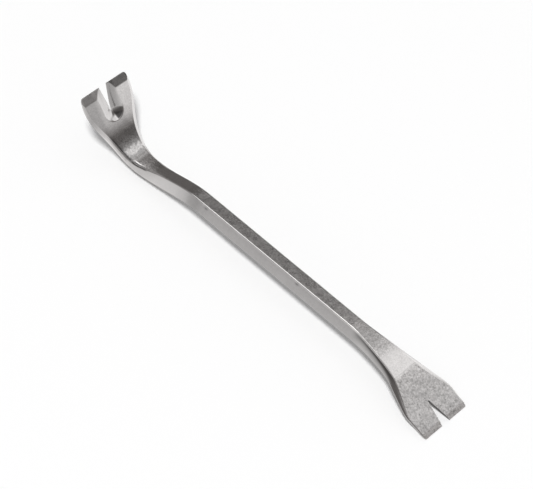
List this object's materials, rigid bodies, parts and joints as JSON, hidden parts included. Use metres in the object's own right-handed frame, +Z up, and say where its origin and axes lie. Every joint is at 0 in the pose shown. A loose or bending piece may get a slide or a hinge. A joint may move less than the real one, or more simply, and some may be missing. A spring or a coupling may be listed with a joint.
{
  "type": "pry bar",
  "caption": "Forged hexagonal-stock pry bar with a bent, slotted claw at one end and a shallow-angled, slotted flat claw at the other.",
  "frame": {"origin": "middle of the overall length, on the symmetry plane, on the plane the bar rests on (the heel of the bent claw and the flat claw tips)", "axes": "+X along the shank towards the flat claw, +Y across the bar, +Z up out of the shank's top flat; the bent claw rises towards +Z at the -X end"},
  "size_m": [0.3144, 0.0394, 0.0547],
  "materials": {
    "plated_steel": "plated forged steel, satin with a fine forged grain, brighter on the side facets"
  },
  "bodies": {
    "root": {"forged_bar": "plated_steel"}
  },
  "joints": []
}
